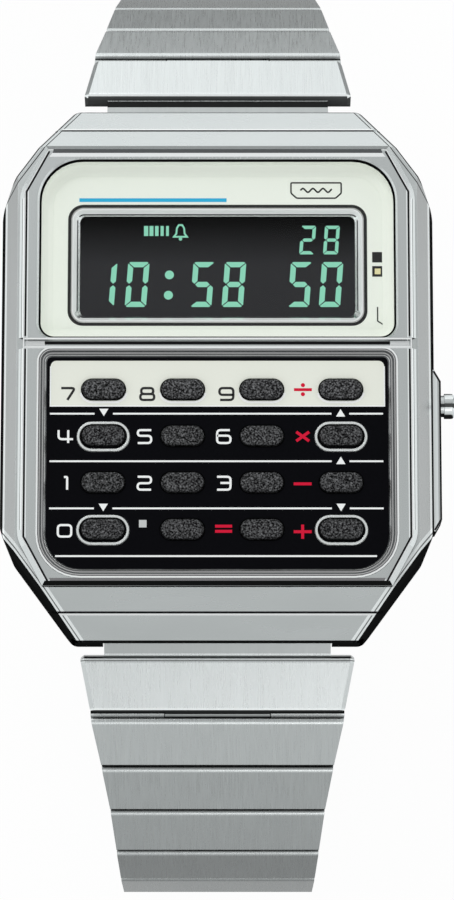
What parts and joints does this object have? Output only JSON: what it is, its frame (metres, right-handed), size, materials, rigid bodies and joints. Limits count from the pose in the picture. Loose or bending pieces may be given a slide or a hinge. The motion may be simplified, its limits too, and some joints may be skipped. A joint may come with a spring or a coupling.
{
  "type": "calculator watch",
  "caption": "Digital calculator wristwatch with a chrome-look case, oblong rubber keys, side pusher and a hinged link bracelet closed on a folding clasp.",
  "frame": {"origin": "on the flat outer face of the closed clasp cover, straight under the middle of the case", "axes": "+Z out of the watch face, +Y to 12 o'clock along the bracelet, +X to 3 o'clock, the pusher side"},
  "size_m": [0.0361, 0.0759, 0.0415],
  "materials": {
    "chrome_resin": "chrome plated, hairline satin flats and bright edges",
    "plated_metal": "chrome plated, satin with bright bevels",
    "crystal": "clear, polished",
    "cream_panel": "printed cream panel",
    "display": "dark display with light segments",
    "keypad_black": "near-black printed plate",
    "key_rubber": "finely grained",
    "mat_rubber": "moulded silicone",
    "connector_rubber": "striped silicone connector",
    "board_green": "circuit board",
    "module_plastic": "moulded frame",
    "cell_steel": "coin cell",
    "strap_steel": "spring strip",
    "buzzer_brass": "thin disc",
    "gasket_rubber": "sealing ring",
    "back_steel": "satin",
    "screw_steel": "turned",
    "spring_steel": "wire",
    "link_steel": "hairline along the bracelet"
  },
  "bodies": {
    "head": {"case_body": "chrome_resin", "pusher_guard": "chrome_resin", "bezel_plate": "plated_metal", "crystal": "crystal", "face_mask": "cream_panel", "display_ring": "plated_metal", "lcd_panel": "display", "display_connectors": "connector_rubber", "keypad_rim": "plated_metal", "keypad_plate": "keypad_black", "key_mat": "mat_rubber", "circuit_board": "board_green", "module_frame": "module_plastic", "battery": "cell_steel", "battery_clip": "strap_steel", "buzzer_disc": "buzzer_brass", "case_back": "back_steel", "case_back_screws": "screw_steel", "back_gasket": "gasket_rubber", "pusher_spring": "spring_steel", "spring_bars": "spring_steel"},
    "upper_link_1": {"upper_link_1": "link_steel"},
    "upper_link_2": {"upper_link_2": "link_steel"},
    "upper_link_3": {"upper_link_3": "link_steel"},
    "upper_link_4": {"upper_link_4": "link_steel"},
    "upper_link_5": {"upper_link_5": "link_steel"},
    "upper_link_6": {"upper_link_6": "link_steel"},
    "upper_link_7": {"upper_link_7": "link_steel"},
    "upper_link_8": {"upper_link_8": "link_steel"},
    "upper_link_9": {"upper_link_9": "link_steel"},
    "upper_end_piece": {"upper_end_piece": "link_steel"},
    "lower_link_1": {"lower_link_1": "link_steel"},
    "lower_link_2": {"lower_link_2": "link_steel"},
    "lower_link_3": {"lower_link_3": "link_steel"},
    "lower_link_4": {"lower_link_4": "link_steel"},
    "lower_link_5": {"lower_link_5": "link_steel"},
    "lower_link_6": {"lower_link_6": "link_steel"},
    "lower_link_7": {"lower_link_7": "link_steel"},
    "lower_link_8": {"lower_link_8": "link_steel"},
    "lower_link_9": {"lower_link_9": "link_steel"},
    "lower_link_10": {"lower_link_10": "link_steel"},
    "clasp_tray": {"clasp_tray": "link_steel"},
    "clasp_cover": {"clasp_cover": "link_steel"},
    "mode_pusher": {"mode_pusher": "back_steel"},
    "key_7": {"key_7": "key_rubber"},
    "key_8": {"key_8": "key_rubber"},
    "key_9": {"key_9": "key_rubber"},
    "key_divide": {"key_divide": "key_rubber"},
    "key_4": {"key_4": "key_rubber"},
    "key_5": {"key_5": "key_rubber"},
    "key_6": {"key_6": "key_rubber"},
    "key_multiply": {"key_multiply": "key_rubber"},
    "key_1": {"key_1": "key_rubber"},
    "key_2": {"key_2": "key_rubber"},
    "key_3": {"key_3": "key_rubber"},
    "key_minus": {"key_minus": "key_rubber"},
    "key_0": {"key_0": "key_rubber"},
    "key_point": {"key_point": "key_rubber"},
    "key_equals": {"key_equals": "key_rubber"},
    "key_plus": {"key_plus": "key_rubber"}
  },
  "joints": [
    {"name": "upper_hinge_1", "type": "hinge", "parent": "head", "child": "upper_link_1", "pos_m": [0, 0.0199, 0.03556], "axis": [1, 0, 0], "range_deg": [0, 19]},
    {"name": "upper_hinge_2", "type": "hinge", "parent": "upper_link_1", "child": "upper_link_2", "pos_m": [0, 0.02652, 0.03328], "axis": [1, 0, 0], "range_deg": [0, 30]},
    {"name": "upper_hinge_3", "type": "hinge", "parent": "upper_link_2", "child": "upper_link_3", "pos_m": [0, 0.02966, 0.02992], "axis": [1, 0, 0], "range_deg": [0, 5]},
    {"name": "upper_hinge_4", "type": "hinge", "parent": "upper_link_3", "child": "upper_link_4", "pos_m": [0, 0.03261, 0.02639], "axis": [1, 0, 0], "range_deg": [0, 15]},
    {"name": "upper_hinge_5", "type": "hinge", "parent": "upper_link_4", "child": "upper_link_5", "pos_m": [0, 0.0347, 0.0223], "axis": [1, 0, 0], "range_deg": [0, 17]},
    {"name": "upper_hinge_6", "type": "hinge", "parent": "upper_link_5", "child": "upper_link_6", "pos_m": [0, 0.03566, 0.0178], "axis": [1, 0, 0], "range_deg": [0, 17]},
    {"name": "upper_hinge_7", "type": "hinge", "parent": "upper_link_6", "child": "upper_link_7", "pos_m": [0, 0.03542, 0.0132], "axis": [1, 0, 0], "range_deg": [0, 19]},
    {"name": "upper_hinge_8", "type": "hinge", "parent": "upper_link_7", "child": "upper_link_8", "pos_m": [0, 0.03384, 0.00888], "axis": [1, 0, 0], "range_deg": [0, 23]},
    {"name": "upper_hinge_9", "type": "hinge", "parent": "upper_link_8", "child": "upper_link_9", "pos_m": [0, 0.03083, 0.00541], "axis": [1, 0, 0], "range_deg": [0, 21.4]},
    {"name": "lower_hinge_1", "type": "hinge", "parent": "head", "child": "lower_link_1", "pos_m": [0, -0.0199, 0.03556], "axis": [-1, 0, 0], "range_deg": [0, 18]},
    {"name": "lower_hinge_2", "type": "hinge", "parent": "lower_link_1", "child": "lower_link_2", "pos_m": [0, -0.02656, 0.0334], "axis": [-1, 0, 0], "range_deg": [0, 26]},
    {"name": "lower_hinge_3", "type": "hinge", "parent": "lower_link_2", "child": "lower_link_3", "pos_m": [0, -0.02998, 0.03032], "axis": [-1, 0, 0], "range_deg": [0, 8]},
    {"name": "lower_hinge_4", "type": "hinge", "parent": "lower_link_3", "child": "lower_link_4", "pos_m": [0, -0.03305, 0.0269], "axis": [-1, 0, 0], "range_deg": [0, 5]},
    {"name": "lower_hinge_5", "type": "hinge", "parent": "lower_link_4", "child": "lower_link_5", "pos_m": [0, -0.03595, 0.02333], "axis": [-1, 0, 0], "range_deg": [0, 19]},
    {"name": "lower_hinge_6", "type": "hinge", "parent": "lower_link_5", "child": "lower_link_6", "pos_m": [0, -0.03767, 0.01906], "axis": [-1, 0, 0], "range_deg": [0, 16]},
    {"name": "lower_hinge_7", "type": "hinge", "parent": "lower_link_6", "child": "lower_link_7", "pos_m": [0, -0.03831, 0.01451], "axis": [-1, 0, 0], "range_deg": [0, 21]},
    {"name": "lower_hinge_8", "type": "hinge", "parent": "lower_link_7", "child": "lower_link_8", "pos_m": [0, -0.03743, 0.00999], "axis": [-1, 0, 0], "range_deg": [0, 23]},
    {"name": "lower_hinge_9", "type": "hinge", "parent": "lower_link_8", "child": "lower_link_9", "pos_m": [0, -0.035, 0.00609], "axis": [-1, 0, 0], "range_deg": [0, 23]},
    {"name": "lower_hinge_10", "type": "hinge", "parent": "lower_link_9", "child": "lower_link_10", "pos_m": [0, -0.03132, 0.00332], "axis": [-1, 0, 0], "range_deg": [0, 21]},
    {"name": "upper_end_hinge", "type": "hinge", "parent": "upper_link_9", "child": "upper_end_piece", "pos_m": [0, 0.02683, 0.00314], "axis": [1, 0, 0], "range_deg": [0, 13.6]},
    {"name": "clasp_hinge", "type": "hinge", "parent": "lower_link_10", "child": "clasp_tray", "pos_m": [0, -0.02695, 0.0019], "axis": [-1, 0, 0], "range_deg": [0, 20]},
    {"name": "cover_hinge", "type": "hinge", "parent": "clasp_tray", "child": "clasp_cover", "pos_m": [0, 0.02107, 0.00165], "axis": [1, 0, 0], "range_deg": [0, 110]},
    {"name": "mode_pusher_slide", "type": "slide", "parent": "head", "child": "mode_pusher", "axis": [-1, 0, 0], "range_m": [0, 0.0006], "stiffness_N_per_m": 1500, "deforming": ["pusher_spring"]},
    {"name": "key_7_slide", "type": "slide", "parent": "head", "child": "key_7", "axis": [0, 0, -1], "range_m": [0, 0.00035], "stiffness_N_per_m": 1000},
    {"name": "key_8_slide", "type": "slide", "parent": "head", "child": "key_8", "axis": [0, 0, -1], "range_m": [0, 0.00035], "stiffness_N_per_m": 1000},
    {"name": "key_9_slide", "type": "slide", "parent": "head", "child": "key_9", "axis": [0, 0, -1], "range_m": [0, 0.00035], "stiffness_N_per_m": 1000},
    {"name": "key_divide_slide", "type": "slide", "parent": "head", "child": "key_divide", "axis": [0, 0, -1], "range_m": [0, 0.00035], "stiffness_N_per_m": 1000},
    {"name": "key_4_slide", "type": "slide", "parent": "head", "child": "key_4", "axis": [0, 0, -1], "range_m": [0, 0.00035], "stiffness_N_per_m": 1000},
    {"name": "key_5_slide", "type": "slide", "parent": "head", "child": "key_5", "axis": [0, 0, -1], "range_m": [0, 0.00035], "stiffness_N_per_m": 1000},
    {"name": "key_6_slide", "type": "slide", "parent": "head", "child": "key_6", "axis": [0, 0, -1], "range_m": [0, 0.00035], "stiffness_N_per_m": 1000},
    {"name": "key_multiply_slide", "type": "slide", "parent": "head", "child": "key_multiply", "axis": [0, 0, -1], "range_m": [0, 0.00035], "stiffness_N_per_m": 1000},
    {"name": "key_1_slide", "type": "slide", "parent": "head", "child": "key_1", "axis": [0, 0, -1], "range_m": [0, 0.00035], "stiffness_N_per_m": 1000},
    {"name": "key_2_slide", "type": "slide", "parent": "head", "child": "key_2", "axis": [0, 0, -1], "range_m": [0, 0.00035], "stiffness_N_per_m": 1000},
    {"name": "key_3_slide", "type": "slide", "parent": "head", "child": "key_3", "axis": [0, 0, -1], "range_m": [0, 0.00035], "stiffness_N_per_m": 1000},
    {"name": "key_minus_slide", "type": "slide", "parent": "head", "child": "key_minus", "axis": [0, 0, -1], "range_m": [0, 0.00035], "stiffness_N_per_m": 1000},
    {"name": "key_0_slide", "type": "slide", "parent": "head", "child": "key_0", "axis": [0, 0, -1], "range_m": [0, 0.00035], "stiffness_N_per_m": 1000},
    {"name": "key_point_slide", "type": "slide", "parent": "head", "child": "key_point", "axis": [0, 0, -1], "range_m": [0, 0.00035], "stiffness_N_per_m": 1000},
    {"name": "key_equals_slide", "type": "slide", "parent": "head", "child": "key_equals", "axis": [0, 0, -1], "range_m": [0, 0.00035], "stiffness_N_per_m": 1000},
    {"name": "key_plus_slide", "type": "slide", "parent": "head", "child": "key_plus", "axis": [0, 0, -1], "range_m": [0, 0.00035], "stiffness_N_per_m": 1000}
  ]
}
